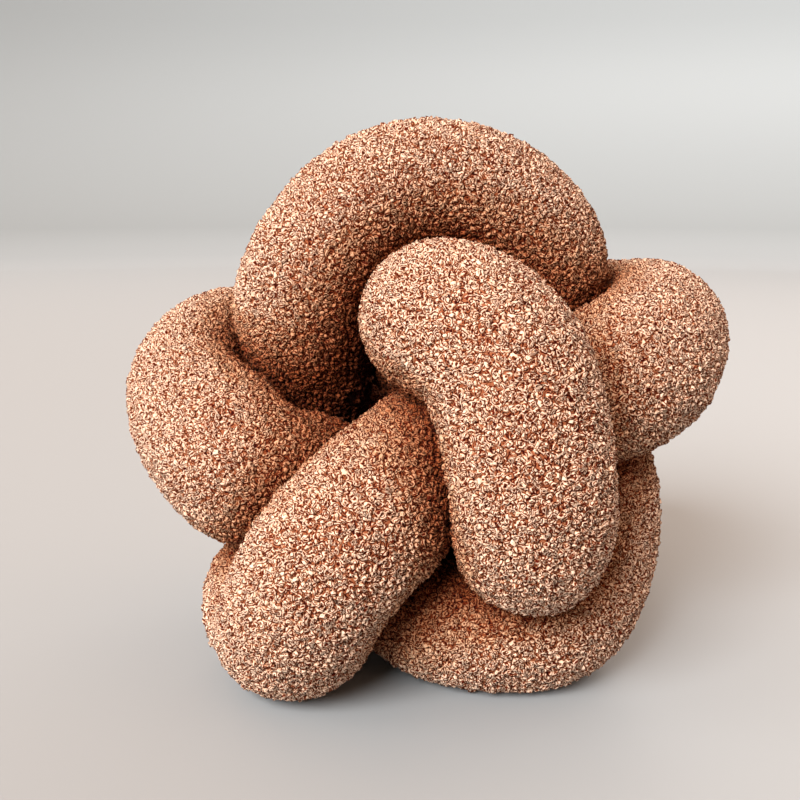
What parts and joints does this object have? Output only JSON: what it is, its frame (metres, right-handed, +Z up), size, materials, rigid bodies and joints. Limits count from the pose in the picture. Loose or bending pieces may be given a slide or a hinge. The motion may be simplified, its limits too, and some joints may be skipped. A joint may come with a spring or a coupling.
{
  "type": "knot cushion",
  "caption": "Ball-shaped knot cushion: a thick stuffed tube of curly pile cloth, tied over and under itself and closed into a loop.",
  "frame": {"origin": "on the floor, under the middle of the cushion's bounding box", "axes": "+Z up, the front strand and the lower left strand face -Y, the right lobe points to +X; the width along X is the longest extent and the height along Z the shortest"},
  "size_m": [0.3708, 0.3358, 0.3229],
  "materials": {
    "curly_pile": "matte curly pile with looped curls a few millimetres across, warm terracotta beige"
  },
  "bodies": {
    "root": {"knot_tube": "curly_pile"}
  },
  "joints": []
}
